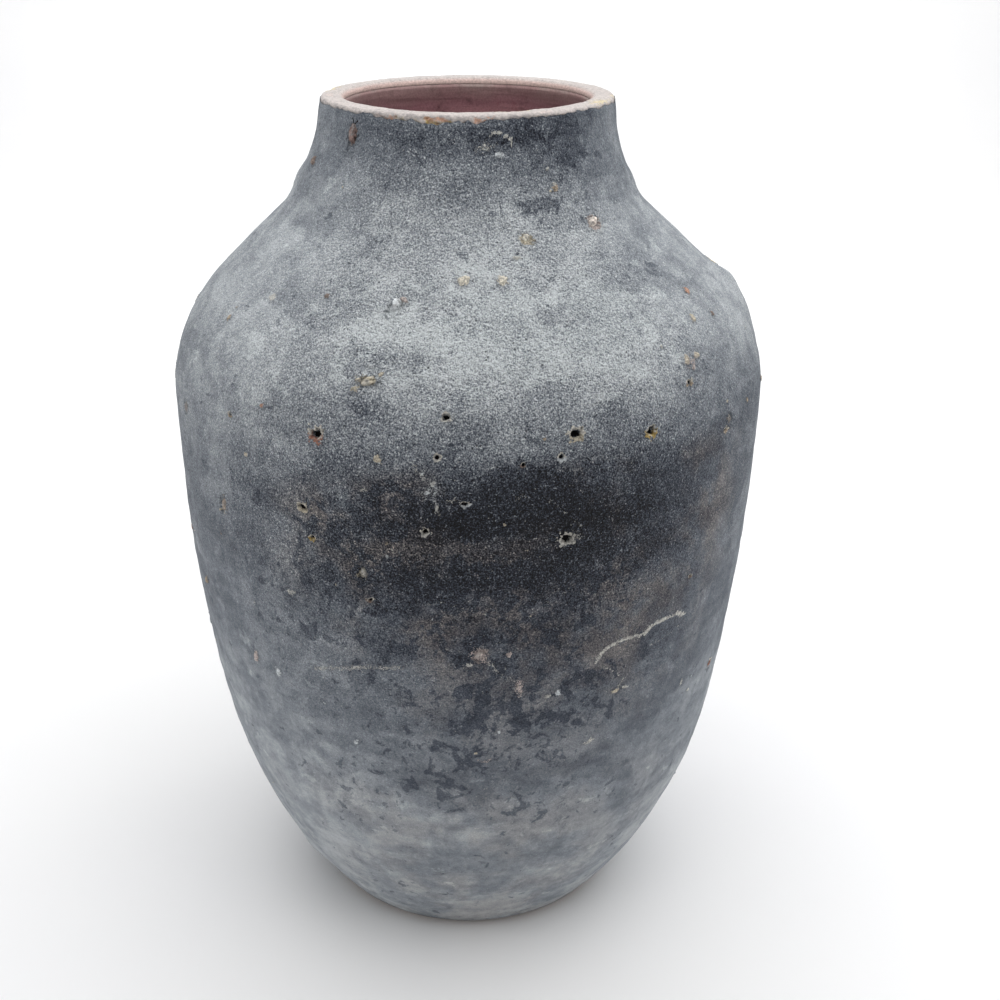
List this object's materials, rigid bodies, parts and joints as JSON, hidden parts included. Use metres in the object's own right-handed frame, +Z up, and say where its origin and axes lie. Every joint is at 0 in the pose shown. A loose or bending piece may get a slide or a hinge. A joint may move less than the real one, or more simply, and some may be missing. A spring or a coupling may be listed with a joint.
{
  "type": "black clay pot",
  "caption": "Tall shouldered clay jar, coil-built from luted wall sections, with a matte black slip outside, a brown glazed inside and a bare rounded lip.",
  "frame": {"origin": "centre of the foot, on the surface the pot stands on", "axes": "+Z up along the pot's axis of turning, towards the mouth; -Y is the front"},
  "size_m": [0.228, 0.228, 0.33],
  "materials": {
    "clay_body": "matte",
    "bare_lip": "matte",
    "black_slip": "matte",
    "brown_glaze": "satin",
    "grit": "matte"
  },
  "bodies": {
    "root": {"base_pad": "clay_body", "lower_wall": "clay_body", "belly_wall": "clay_body", "shoulder_wall": "clay_body", "neck_collar": "clay_body", "lip_ring": "bare_lip", "outer_slip_coat": "black_slip", "inner_glaze_lining": "brown_glaze", "grit_stones": "grit"}
  },
  "joints": []
}
